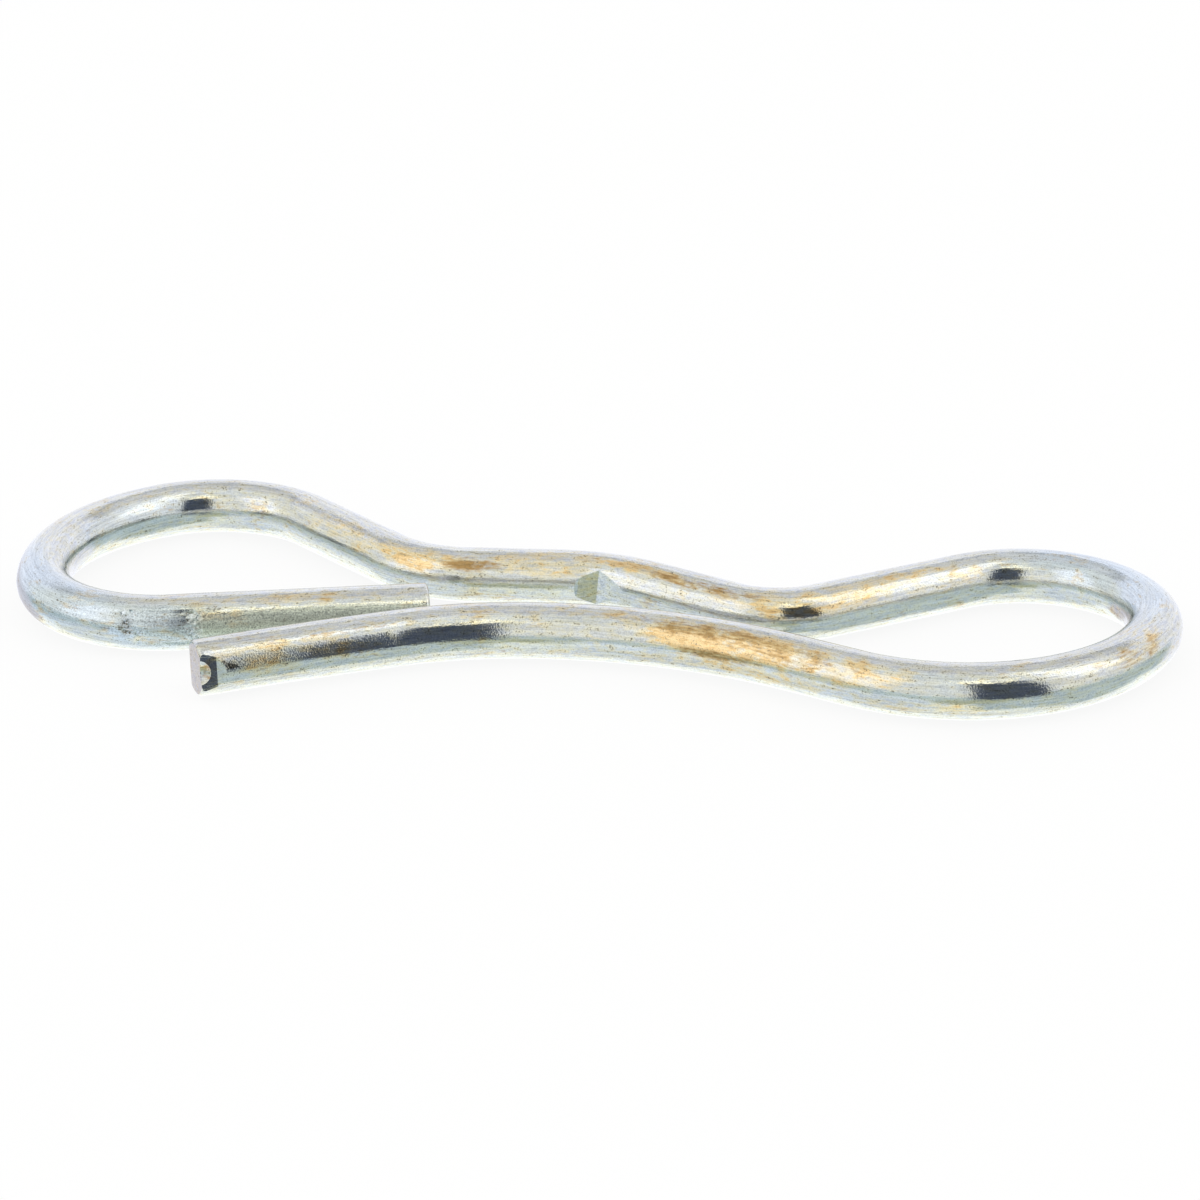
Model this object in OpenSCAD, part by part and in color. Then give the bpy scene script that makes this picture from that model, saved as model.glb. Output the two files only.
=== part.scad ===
// Bow-tie locking cotter, bent flat from one length of round spring wire.
//
// The wire runs taut round ten forming posts: each bend is an arc of its post, and each straight is
// the common tangent of two posts. A loop is three-centred: tight corner arcs joined by one broad
// side arc. Between the loops the rear strand dips at two necks and rises over a saddle. The front
// strand bows towards the saddle and flares out to a straight tip, and the short leg of the left
// loop ends beside that flare. A punch has left a V-shaped dent on the front of the saddle, and the
// jaws that cut the wire off have pressed a mark into each side of the tip, the front one with a
// round nick in its edge.
//
// X runs from the left loop to the right one, Y from the front strand to the rear one, and Z is up.
// The wire lies on the plane Z = 0, with the middle of its bounding box over the origin.

/* [Wire] */
// Diameter of the wire
wire_d = 4.5; // [3.5:0.1:5]
// Rounding of the edge of each sheared end
end_round = 0.35; // [0.1:0.05:0.8]
// Share of its radius that the wire loses where a bend is as tight as the wire is thick
bend_thinning = 0.02; // [0.01:0.005:0.04]

/* [Loops] */
// Distance between the rear corners of the two loops, middle to middle
loop_spacing = 68; // [60:0.5:80]
// Inside radius of the tight corner bends
corner_r = 7.75; // [6.5:0.25:9]
// Inside radius of the broad side bends
side_r = 13.75; // [12.5:0.25:16]
// How far the front corner of the left loop lies outside its rear corner
front_corner_out = 1.7; // [-1:0.1:4]
// Depth of the right loop, from its rear corner's middle to the wire's axis in front
right_loop_depth = 15.4; // [12.5:0.1:18]

/* [Rear strand] */
// Place of the left neck along the cotter
left_neck_x = -13.4; // [-18:0.1:-10]
// Lowest point of the wire's axis at the left neck
left_neck_y = -0.7; // [-3:0.1:1.5]
// Inside radius of the left neck
left_neck_r = 7; // [4:0.5:10]
// Place of the saddle along the cotter
saddle_x = -2.1; // [-5:0.1:2]
// Highest point of the wire's axis on the saddle
saddle_y = 0.9; // [0:0.1:3]
// Inside radius of the saddle
saddle_r = 12; // [8:0.5:20]
// Place of the right neck along the cotter
right_neck_x = 12.8; // [10:0.1:18]
// Lowest point of the wire's axis at the right neck
right_neck_y = -3.4; // [-4.5:0.1:0]
// Inside radius of the right neck
right_neck_r = 4.5; // [3:0.5:9]

/* [Front strand] */
// Clear gap between the saddle and the front strand's bow
grip_gap = 6.6; // [5:0.1:9]
// Place of the bow along the cotter
bow_x = 3.8; // [1:0.1:7]
// Inside radius of the bow
bow_r = 37.5; // [30:0.5:50]
// Slope of the strand between the bow and the flare
strand_slope = 7; // [4:0.5:10]
// Length of the strand between the bow and the flare
strand_run = 0.8; // [0:0.1:4]
// Inside radius of the flare
flare_r = 26.5; // [18:0.5:35]
// Slope of the tip
tip_slope = 35.5; // [28:0.5:45]
// Length of the straight tip
tip_len = 15.4; // [8:0.1:24]

/* [Leg] */
// Slope of the leg
leg_slope = 20.5; // [16:0.5:24]
// Clear gap between the leg's line and the flare
leg_gap = 0.2; // [0.1:0.05:2]
// How far the leg stops short of the place where that gap is least
leg_setback = 3.2; // [0:0.1:10]

/* [Punch dent] */
// Place of the dent along the cotter
dent_x = -0.6; // [-3:0.1:1]
// Depth of the dent in the front of the saddle
dent_depth = 0.57; // [0.4:0.01:0.8]
// Length of the dent along the wire
dent_len = 4.6; // [3:0.1:5]
// Lean of the dent's bottom line from upright
dent_lean = 6; // [0:1:15]

/* [Jaw marks on the tip] */
// Depth of the front jaw's mark at the very end
front_jaw_depth = 0.65; // [0.3:0.05:1]
// Depth of the back jaw's mark at the very end
back_jaw_depth = 1.1; // [0.3:0.05:1.2]
// Turn of both marks round the wire, from upright
jaw_lean = 7; // [0:1:20]
// Length of the jaw's flat, from the end of the wire
jaw_flat = 1.25; // [0.5:0.05:2]
// Slope of the jaw's flat
jaw_flat_slope = 12; // [5:1:20]
// Slope of the ramp behind the flat
jaw_ramp_slope = 25; // [20:1:40]

/* [Nick in the edge of the front jaw mark] */
// Width of the nick, up and down the wire's end
nick_width = 2; // [1.2:0.1:2.2]
// Depth of the nick where it is deepest
nick_depth = 0.2; // [0.1:0.05:0.35]
// How far the nick reaches in from the end
nick_reach = 0.8; // [0.5:0.1:1]

/* [Hidden] */
$fn = 64;

wire_r = wire_d / 2;
steel = [0.76, 0.77, 0.74];

// The way a post turns the wire, seen from above and travelling from the leg to the tip
left = 1;
right = -1;

// How far each piece runs on into its neighbour
bite = 0.05;

// How far the dent's two faces run on past the wire's surface, as a share of their length
dent_run_on = 1.3;

function unit(a) = [cos(a), sin(a)];
function left_of(a) = [-sin(a), cos(a)];

// A post is the middle of its bend, the radius of the wire's axis round it, and the turn
function post(middle, inside_r, turn) = [middle, inside_r + wire_r, turn];
function middle(post) = post[0];
function axis_r(post) = post[1];
function turn(post) = post[2];

// Bending stretches the wire, so it is a little thinner on a tight bend than on a straight
function bent_r(post) = wire_r * (1 - bend_thinning * wire_d / axis_r(post));

// Post whose bend has its lowest point at [x, y], and one whose bend has its highest point there
function dip(x, y, inside_r) = post([x, y + inside_r + wire_r], inside_r, left);
function crest(x, y, inside_r, turn) = post([x, y - inside_r - wire_r], inside_r, turn);

// Straight between two posts that meets both as a tangent: its length, then its heading
function run_length(p, q) =
    sqrt(max(0, pow(norm(middle(q) - middle(p)), 2) - pow(offset_between(p, q), 2)));
function offset_between(p, q) = turn(q) * axis_r(q) - turn(p) * axis_r(p);
function run_heading(p, q) =
    let (across = middle(q) - middle(p))
    atan2(across.y, across.x) - atan2(offset_between(p, q), run_length(p, q));

// Place on a post where the wire's axis has a given heading
function on_post(p, heading) = middle(p) - turn(p) * axis_r(p) * left_of(heading);

// Angle turned on a post between two headings, always the way that the post turns
function turned(p, from, to) =
    let (swept = turn(p) * (to - from))
    turn(p) * (swept - 360 * floor(swept / 360));

// Middle of a broad arc that runs on smoothly into two corner arcs, bulging to the left of the way
// from the first corner's middle to the second's
function side_middle(a, b) =
    let (span = b - a, reach = side_r - corner_r)
    (a + b) / 2 + left_of(atan2(span.y, span.x)) * sqrt(max(0, pow(reach, 2) - pow(norm(span) / 2, 2)));

// Headings of the pieces that are set by angle
strand_heading = 180 + strand_slope;
tip_heading = 180 + tip_slope;
leg_heading = 180 + leg_slope;

// Rear strand and the rear corners of the loops
left_rear = post([-loop_spacing / 2, 0], corner_r, right);
left_neck = dip(left_neck_x, left_neck_y, left_neck_r);
saddle = crest(saddle_x, saddle_y, saddle_r, right);
right_neck = dip(right_neck_x, right_neck_y, right_neck_r);
right_rear = post([loop_spacing / 2, 0], corner_r, right);

// Front of the right loop: one broad arc that runs on from the rear corner
right_front_rise = side_r + wire_r - right_loop_depth;
right_front_in = sqrt(max(0, pow(side_r - corner_r, 2) - pow(right_front_rise, 2)));
right_front = post(middle(right_rear) + [-right_front_in, right_front_rise], side_r, right);

// Front strand: the bow faces the saddle, and the flare follows it
bow = crest(bow_x, saddle_y - wire_d - grip_gap, bow_r, left);
bow_end = on_post(bow, strand_heading);
flare_start = bow_end + strand_run * unit(strand_heading);
flare = post(flare_start + (flare_r + wire_r) * left_of(strand_heading), flare_r, left);
tip_start = on_post(flare, tip_heading);
tip_end = tip_start + tip_len * unit(tip_heading);

// Leg: beside the flare, on a line that clears it by the gap
leg_nearest = middle(flare) - (axis_r(flare) + wire_d + leg_gap) * left_of(leg_heading);
leg_end = leg_nearest + leg_setback * unit(leg_heading);

// Front corner of the left loop: it rides on the leg's line
corner_line = leg_end - (corner_r + wire_r) * left_of(leg_heading);
corner_x = middle(left_rear).x - front_corner_out;
corner_middle = corner_line + unit(leg_heading) * (corner_x - corner_line.x) / unit(leg_heading).x;
left_front = post(corner_middle, corner_r, right);
left_side = post(side_middle(middle(left_rear), corner_middle), side_r, right);

// The posts in the order of the wire, and the heading in which it reaches and leaves each
POSTS = [left_front, left_side, left_rear, left_neck, saddle, right_neck, right_rear, right_front,
         bow, flare];
last = len(POSTS) - 1;
HEADINGS = [leg_heading, for (i = [0 : last - 1]) run_heading(POSTS[i], POSTS[i + 1]), tip_heading];

// Outermost places of a bend: those on its outer side that face squarely along X or Y
function outer_places(i) =
    let (p = POSTS[i],
         from = HEADINGS[i] - 90 * turn(p),
         to = from + turned(p, HEADINGS[i], HEADINGS[i + 1]))
    [for (k = [ceil(min(from, to) / 90) : floor(max(from, to) / 90)])
        middle(p) + (axis_r(p) + bent_r(p)) * unit(90 * k)];

// Corner of the box round one sheared end, on the low side (-1) or the high side (1)
function end_corner(place, outward, way) =
    place - end_round * unit(outward)
    + way * [for (across = left_of(outward)) abs(across) * (wire_r - end_round) + end_round];

outermost = [for (i = [0 : last]) each outer_places(i), end_corner(tip_end, tip_heading, -1),
             end_corner(tip_end, tip_heading, 1)];
box_middle = [for (k = [0, 1]) (min([for (q = outermost) q[k]]) + max([for (q = outermost) q[k]])) / 2];

// A length of straight wire that starts at a place on the axis
module straight(start, heading, length) {
    if (length > bite)
        translate([start.x, start.y, 0])
            rotate([0, 90, heading])
                translate([0, 0, -bite])
                    cylinder(r = wire_r, h = length + 2 * bite);
}

// The arc of wire on one post
module bend(p, from, to) {
    swept = turned(p, from, to);
    bite_angle = bite / axis_r(p) * 180 / PI;
    translate([middle(p).x, middle(p).y, 0])
        rotate(from - 90 * turn(p) + min(swept, 0) - bite_angle)
            rotate_extrude(angle = abs(swept) + 2 * bite_angle)
                translate([axis_r(p), 0])
                    circle(r = bent_r(p));
}

// A length of straight wire out to a sheared end, which has its edge rounded over
module sheared_run(start, outward, length) {
    translate([start.x, start.y, 0])
        rotate([0, 90, outward])
            translate([0, 0, -bite])
                rotate_extrude() {
                    square([wire_r, bite + length - end_round]);
                    square([wire_r - end_round, bite + length]);
                    translate([wire_r - end_round, bite + length - end_round])
                        circle(r = end_round);
                }
}

// What the punch takes out of the front of the saddle: a wedge with its edge upright
module punch_dent() {
    heading = -asin((dent_x - saddle_x) / axis_r(saddle));
    place = on_post(saddle, heading);
    half_len = dent_len / 2;
    bottom = dent_depth - bent_r(saddle);
    rim = sqrt(pow(axis_r(saddle) - bent_r(saddle), 2) - pow(half_len, 2)) - axis_r(saddle);
    foot = bottom + dent_run_on * (rim - bottom);
    translate([place.x, place.y, 0])
        rotate([0, dent_lean, heading])
            linear_extrude(height = 2 * wire_d, center = true)
                polygon([[0, bottom], [-dent_run_on * half_len, foot], [dent_run_on * half_len, foot]]);
}

// What one jaw takes off the tip: a flat from the end inwards, then a ramp out to the surface
module jaw_mark(depth, side) {
    face = wire_r - depth;
    crease = face + jaw_flat * tan(jaw_flat_slope);
    foot = jaw_flat + (wire_d - crease) / tan(jaw_ramp_slope);
    translate([tip_end.x, tip_end.y, 0])
        rotate(tip_heading)
            rotate([side + jaw_lean, 0, 0])
                linear_extrude(height = 2 * wire_d, center = true)
                    polygon([
                        [wire_r, face - wire_r * tan(jaw_flat_slope)],
                        [-jaw_flat, crease],
                        [-foot, wire_d],
                        [wire_r, wire_d]
                    ]);
}

// Shallow round nick in the flat of the front jaw's mark, at the edge of the wire's end
module edge_nick() {
    ball_r = (pow(nick_width / 2, 2) + pow(nick_depth, 2)) / (2 * nick_depth);
    translate([tip_end.x, tip_end.y, 0])
        rotate(tip_heading)
            rotate([jaw_lean, 0, 0])
                translate([0, wire_r - front_jaw_depth, 0])
                    rotate(-jaw_flat_slope)
                        translate([nick_width / 2 - nick_reach, ball_r - nick_depth, 0])
                            sphere(r = ball_r);
}

// The straight tip, with the marks of both jaws
module tip() {
    difference() {
        sheared_run(tip_start, tip_heading, tip_len);
        jaw_mark(front_jaw_depth, 0);
        jaw_mark(back_jaw_depth, 180);
        edge_nick();
    }
}

// The wire before its dent: leg, bends with the straights between them, and tip
module bent_wire() {
    leg_foot = on_post(POSTS[0], leg_heading);
    sheared_run(leg_foot, leg_heading + 180, norm(leg_foot - leg_end));
    for (i = [0 : last])
        bend(POSTS[i], HEADINGS[i], HEADINGS[i + 1]);
    for (i = [0 : last - 1])
        straight(on_post(POSTS[i], HEADINGS[i + 1]), HEADINGS[i + 1], run_length(POSTS[i], POSTS[i + 1]));
    tip();
}

// The whole cotter
module wire() {
    color(steel)
        translate([-box_middle.x, -box_middle.y, wire_r])
            difference() {
                bent_wire();
                punch_dent();
            }
}

wire();
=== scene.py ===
"""Dresses the bow-tie locking cotter: one bent spring wire in bright zinc plate, on a pale floor."""

import logging
import math
from dataclasses import dataclass, field
from enum import Enum
from typing import Any, Sequence

import bmesh
import bpy
import numpy as np
from mathutils import Matrix, Vector, noise
from mathutils.kdtree import KDTree


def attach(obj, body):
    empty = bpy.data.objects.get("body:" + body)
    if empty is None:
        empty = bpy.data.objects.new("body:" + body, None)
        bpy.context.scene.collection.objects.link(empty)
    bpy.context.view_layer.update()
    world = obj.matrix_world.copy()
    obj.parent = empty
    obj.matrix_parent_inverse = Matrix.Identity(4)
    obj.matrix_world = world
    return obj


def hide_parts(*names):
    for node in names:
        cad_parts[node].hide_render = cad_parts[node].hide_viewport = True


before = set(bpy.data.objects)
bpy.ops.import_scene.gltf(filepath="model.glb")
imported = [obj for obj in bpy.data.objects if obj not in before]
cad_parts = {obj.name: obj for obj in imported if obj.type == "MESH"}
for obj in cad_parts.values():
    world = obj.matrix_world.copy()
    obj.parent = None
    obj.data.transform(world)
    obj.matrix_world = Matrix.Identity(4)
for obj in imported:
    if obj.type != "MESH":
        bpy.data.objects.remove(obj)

LOG = logging.getLogger("cotter")
MM = 0.001
WIRE = "wire"
PIECE = "zinc_wire"
WHITE = "#FFFFFF"
# Lengths and shares under this count as none
TINY = 1e-6
# Places along the wire that its box and its mesh's points are found from, and rings in a rounded end
BOX_PLACES = 12000
MESH_PLACES = 2400
END_RINGS = 7
# Attribute that holds each point's place on the wire as it was drawn straight
DRAWN = "drawn"
Pair = tuple[float, float]
Triple = tuple[float, float, float]
Mesh, Object, Material = bpy.types.Mesh, bpy.types.Object, bpy.types.Material
Node, Tree, Socket = bpy.types.Node, bpy.types.NodeTree, bpy.types.NodeSocket


class Turn(Enum):
    """Way that a post turns the wire, seen from above."""

    LEFT = 1
    RIGHT = -1


def unit(angle: float) -> np.ndarray:
    """Gives the direction in plan at an angle in radians."""
    return np.array([math.cos(angle), math.sin(angle)])


def left_of(angle: float) -> np.ndarray:
    """Gives the direction in plan to the left of a heading in radians."""
    return np.array([-math.sin(angle), math.cos(angle)])


def linear(code: str) -> tuple[float, float, float, float]:
    """Turns an sRGB hex colour to linear red, green, blue and an alpha of 1."""
    channels = (int(code[i : i + 2], 16) / 255 for i in (1, 3, 5))
    return (*(c / 12.92 if c <= 0.04045 else ((c + 0.055) / 1.055) ** 2.4 for c in channels), 1.0)


def ease(x: Any) -> Any:
    """Eases a number, or an array of them, from 0 to 1, flat at both ends."""
    x = np.clip(x, 0.0, 1.0)
    return x * x * (3.0 - 2.0 * x)


def turn_from(middle: float, angle: np.ndarray) -> np.ndarray:
    """Gives the shortest turns from one angle to others, in degrees."""
    return (angle - middle + 180.0) % 360.0 - 180.0


def node(tree: Tree, kind: str, links: dict[Any, Any] | None = None, **settings: Any) -> Node:
    """Adds a node with its settings and links.

    Args:
        tree: Node tree that gets the node.
        kind: Node's type name in Blender.
        links: Input socket, by name or number, to an output socket or a value.
        settings: Node properties to set.

    Returns:
        The node.
    """
    made = tree.nodes.new(kind)
    for name, value in settings.items():
        setattr(made, name, value)
    for name, value in (links or {}).items():
        socket = made.inputs[name]
        if isinstance(value, Socket):
            tree.links.new(value, socket)
        else:
            socket.default_value = value
    return made


def cleared(holder: Material | bpy.types.World) -> Tree:
    """Empties the node tree of a material or a world.

    Args:
        holder: The material or world.

    Returns:
        Its tree.
    """
    holder.use_nodes = True
    holder.node_tree.nodes.clear()
    return holder.node_tree


def placed(name: str, data: Any) -> Object:
    """Puts a mesh, a curve or a camera into the scene.

    Args:
        name: Name of its object.
        data: The mesh, curve or camera.

    Returns:
        Its object.
    """
    made = bpy.data.objects.new(name, data)
    bpy.context.scene.collection.objects.link(made)
    return made


def calc(tree: Tree, operation: str, *values: Any) -> Socket:
    """Adds a sum on sockets or values and gives its result."""
    return node(tree, "ShaderNodeMath", dict(enumerate(values)), operation=operation).outputs[0]


def times(tree: Tree, vector: Socket, sizes: Triple) -> Socket:
    """Adds a vector times three sizes, one for each axis."""
    return node(tree, "ShaderNodeVectorMath", {0: vector, 1: sizes}, operation="MULTIPLY").outputs[0]


def scaled(tree: Tree, vector: Socket, scale: Socket) -> Socket:
    """Adds a vector or colour times a number."""
    return node(tree, "ShaderNodeVectorMath", {0: vector, "Scale": scale}, operation="SCALE").outputs[0]


def remap(tree: Tree, value: Socket, start: Sequence[Any] = (0.0, 1.0), to: Sequence[Any] = (0.0, 1.0),
          **settings: Any) -> Socket:
    """Adds a mapping of a value from one range to another, held at both ends."""
    ends = dict(zip(("From Min", "From Max", "To Min", "To Max"), (*start, *to)))
    return node(tree, "ShaderNodeMapRange", {"Value": value, **ends}, **settings).outputs[0]


def over(tree: Tree, colour: Any, amount: Socket, top: Any) -> Socket:
    """Adds a colour mixed over another."""
    return node(tree, "ShaderNodeMix", {0: amount, 6: colour, 7: top}, data_type="RGBA").outputs[2]


def varied(tree: Tree, value: Any, texture: Socket, share: Any) -> Socket:
    """Adds a share of a texture, counted from its middle, to a value."""
    return calc(tree, "MULTIPLY_ADD", calc(tree, "SUBTRACT", texture, 0.5), share, value)


def shaded(tree: Tree, amount: Socket, first: Node, second: Node) -> Socket:
    """Adds a mix of two shaders and gives its result."""
    links = {0: amount, 1: first.outputs[0], 2: second.outputs[0]}
    return node(tree, "ShaderNodeMixShader", links).outputs[0]


@dataclass(frozen=True)
class Post:
    """Forming post that bends the wire, with the radius of the wire's axis round it, in mm."""

    middle: np.ndarray
    axis_r: float
    turn: Turn


@dataclass(frozen=True)
class Stretch:
    """One straight or one bend of the wire, in mm and radians, with its curvature to the left in 1/mm."""

    start: np.ndarray
    heading: float
    length: float
    curve: float

    def at(self, distance: np.ndarray) -> tuple[np.ndarray, np.ndarray]:
        """Gives places and headings on it.

        Args:
            distance: Distances from its start, in mm.

        Returns:
            Places in plan, in mm, and headings in radians.
        """
        turned = self.heading + self.curve * distance
        if self.curve == 0.0:
            return self.start + distance[:, None] * unit(self.heading), turned
        middle = self.start + left_of(self.heading) / self.curve
        return middle - np.stack([-np.sin(turned), np.cos(turned)], 1) / self.curve, turned


@dataclass
class WirePath:
    """Axis of the wire, which runs taut round ten forming posts, with the sizes in mm and degrees.

    A radius is the inside radius of a bend, and a slope is counted from the cotter's length. The necks
    and the saddle are the lowest or highest place of the axis there, x and y, and the bend's radius.

    Attributes:
        bend_thinning: Share of its radius that the wire loses where a bend is as tight as it is thick.
        front_corner_out: How far the left loop's front corner lies outside its rear corner.
        right_loop_depth: Depth of the right loop, from its rear corner's middle to the axis in front.
        leg_setback: How far the leg's end lies past the place nearest to the flare.
        starts: Distance along the wire at which each stretch begins, and the wire's length.
        origin: Middle of the cotter's box in the posts' own frame, once it is known.
    """

    wire_d: float = 4.5
    end_round: float = 0.35
    bend_thinning: float = 0.02
    loop_spacing: float = 68.0
    corner_r: float = 7.75
    side_r: float = 13.75
    front_corner_out: float = 1.7
    right_loop_depth: float = 15.4
    left_neck: Triple = (-13.4, -0.7, 7.0)
    saddle: Triple = (-2.1, 0.9, 12.0)
    right_neck: Triple = (12.8, -3.4, 4.5)
    grip_gap: float = 6.6
    bow_x: float = 3.8
    bow_r: float = 37.5
    strand_slope: float = 7.0
    strand_run: float = 0.8
    flare_r: float = 26.5
    tip_slope: float = 35.5
    tip_len: float = 15.4
    leg_slope: float = 20.5
    leg_gap: float = 0.2
    leg_setback: float = 3.2
    stretches: list[Stretch] = field(default_factory=list, init=False)
    starts: np.ndarray = field(init=False)
    origin: np.ndarray = field(default_factory=lambda: np.zeros(2), init=False)

    @property
    def wire_r(self) -> float:
        """Radius of the straight wire."""
        return self.wire_d / 2

    @property
    def length(self) -> float:
        """Length of the wire's axis."""
        return float(self.starts[-1])

    def __post_init__(self) -> None:
        """Lays the wire round its posts and finds the middle of its box."""
        self._lay()
        lengths = [s.length for s in self.stretches]
        self.starts = np.concatenate([[0.0], np.cumsum(lengths)])
        along = np.linspace(0.0, self.length, BOX_PLACES)
        places, headings = self.walk(along)
        across = np.abs(np.stack([np.sin(headings), np.cos(headings)], 1)) * self.radius(along)[:, None]
        self.origin = ((places - across).min(0) + (places + across).max(0)) / 2

    def _post(self, middle: Sequence[float] | np.ndarray, inside_r: float, turn: Turn) -> Post:
        """Makes a post from the inside radius of its bend."""
        return Post(np.asarray(middle, float), inside_r + self.wire_r, turn)

    def crest(self, place: Triple, turn: Turn) -> Post:
        """Makes a post whose bend is highest at a place."""
        x, y, inside_r = place
        return self._post((x, y - inside_r - self.wire_r), inside_r, turn)

    def _dip(self, place: Triple) -> Post:
        """Makes a post whose bend is lowest at a place."""
        x, y, inside_r = place
        return self._post((x, y + inside_r + self.wire_r), inside_r, Turn.LEFT)

    @staticmethod
    def touch(post: Post, heading: float) -> np.ndarray:
        """Gives the place on a post where the wire has a heading."""
        return post.middle - post.turn.value * post.axis_r * left_of(heading)

    def _side_middle(self, a: np.ndarray, b: np.ndarray) -> np.ndarray:
        """Gives the middle of the broad side arc that joins two corner arcs.

        Args:
            a: Middle of the corner at the rear, in mm.
            b: Middle of the corner in front, in mm.

        Returns:
            The place in plan, in mm.
        """
        span = b - a
        rise = math.sqrt(max(0.0, (self.side_r - self.corner_r) ** 2 - (span @ span) / 4))
        return (a + b) / 2 + left_of(math.atan2(span[1], span[0])) * rise

    def _lay(self) -> None:
        """Works out the posts, the headings between them and the stretches of wire."""
        slopes = (self.strand_slope, self.tip_slope, self.leg_slope)
        strand, tip, leg = (math.radians(180 + slope) for slope in slopes)
        half = self.loop_spacing / 2
        left_rear = self._post((-half, 0), self.corner_r, Turn.RIGHT)
        right_rear = self._post((half, 0), self.corner_r, Turn.RIGHT)
        saddle = self.crest(self.saddle, Turn.RIGHT)
        rise = self.side_r + self.wire_r - self.right_loop_depth
        inward = math.sqrt(max(0.0, (self.side_r - self.corner_r) ** 2 - rise**2))
        right_front = self._post(right_rear.middle + (-inward, rise), self.side_r, Turn.RIGHT)
        bow = self.crest((self.bow_x, self.saddle[1] - self.wire_d - self.grip_gap, self.bow_r), Turn.LEFT)
        flare_start = self.touch(bow, strand) + self.strand_run * unit(strand)
        flare_middle = flare_start + (self.flare_r + self.wire_r) * left_of(strand)
        flare = self._post(flare_middle, self.flare_r, Turn.LEFT)
        nearest = flare.middle - (flare.axis_r + self.wire_d + self.leg_gap) * left_of(leg)
        leg_end = nearest + self.leg_setback * unit(leg)
        corner_line = leg_end - (self.corner_r + self.wire_r) * left_of(leg)
        corner_x = left_rear.middle[0] - self.front_corner_out
        corner = corner_line + unit(leg) * (corner_x - corner_line[0]) / unit(leg)[0]
        left_front = self._post(corner, self.corner_r, Turn.RIGHT)
        left_side = self._post(self._side_middle(left_rear.middle, corner), self.side_r, Turn.RIGHT)
        posts = [left_front, left_side, left_rear, self._dip(self.left_neck), saddle,
                 self._dip(self.right_neck), right_rear, right_front, bow, flare]
        headings = [leg]
        for p, q in zip(posts, posts[1:]):
            across = q.middle - p.middle
            offset = q.turn.value * q.axis_r - p.turn.value * p.axis_r
            run = math.sqrt(max(0.0, across @ across - offset**2))
            headings.append(math.atan2(across[1], across[0]) - math.atan2(offset, run))
        headings.append(tip)
        self._straight(leg_end, self.touch(left_front, leg), leg)
        for i, post in enumerate(posts):
            turned = post.turn.value * (headings[i + 1] - headings[i]) % math.tau
            start = self.touch(post, headings[i])
            curve = post.turn.value / post.axis_r
            self.stretches.append(Stretch(start, headings[i], turned * post.axis_r, curve))
            if i + 1 < len(posts):
                ends = (self.touch(p, headings[i + 1]) for p in posts[i : i + 2])
                self._straight(*ends, headings[i + 1])
        tip_start = self.touch(flare, tip)
        self._straight(tip_start, tip_start + self.tip_len * unit(tip), tip)

    def _straight(self, start: np.ndarray, end: np.ndarray, heading: float) -> None:
        """Adds a straight, unless it has no length.

        Args:
            start: Place in plan where it begins, in mm.
            end: Place where it ends, in mm.
            heading: Heading of the wire on it, in radians.
        """
        length = float((end - start) @ unit(heading))
        if length > TINY:
            self.stretches.append(Stretch(start, heading, length, 0.0))

    def _owner(self, along: np.ndarray) -> np.ndarray:
        """Gives the number of the stretch at each distance along the wire."""
        return np.clip(np.searchsorted(self.starts, along, side="right") - 1, 0, len(self.stretches) - 1)

    def walk(self, along: np.ndarray) -> tuple[np.ndarray, np.ndarray]:
        """Gives places and headings along the wire.

        Args:
            along: Distances from the end of the leg, in mm.

        Returns:
            Places in plan about the middle of the cotter's box, in mm, and headings in radians.
        """
        places, headings = np.zeros((len(along), 2)), np.zeros(len(along))
        owner = self._owner(along)
        for i, stretch in enumerate(self.stretches):
            mine = owner == i
            if mine.any():
                places[mine], headings[mine] = stretch.at(along[mine] - self.starts[i])
        return places - self.origin, headings

    def radius(self, along: np.ndarray) -> np.ndarray:
        """Gives the wire's radius, which is a little less on a bend and rounds over at both ends.

        Args:
            along: Distances from the end of the leg, in mm.

        Returns:
            Radii, in mm.
        """
        curves = np.array([s.curve for s in self.stretches])
        owner = self._owner(along)
        from_edge = np.minimum(along - self.starts[owner], self.starts[owner + 1] - along)
        thinning = self.bend_thinning * self.wire_d * np.abs(curves[owner]) * ease(from_edge)
        from_end = np.clip(np.minimum(along, self.length - along), 0.0, self.end_round)
        inset = self.end_round - from_end
        rounding = self.end_round - np.sqrt(np.maximum(0.0, self.end_round**2 - inset**2))
        return self.wire_r * (1.0 - thinning) - rounding

    def stations(self, gap: float, fine: Sequence[Triple]) -> np.ndarray:
        """Spaces rings along the wire, closer in the places that need it.

        Args:
            gap: Usual distance between rings, in mm.
            fine: Start, end and distance between rings of each closer place, in mm.

        Returns:
            Distances from the end of the leg, in mm.
        """
        turns = np.linspace(0.0, math.pi / 2, END_RINGS)
        ends = self.end_round * (1.0 - np.cos(turns))
        along, here = list(ends), float(ends[-1])
        stop = self.length - self.end_round
        while here < stop:
            step = min([gap] + [g for a, b, g in fine if a <= here <= b])
            here = min(here + step, stop)
            along.append(here)
        return np.array(along[:-1] + list(self.length - ends[::-1]))


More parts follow.
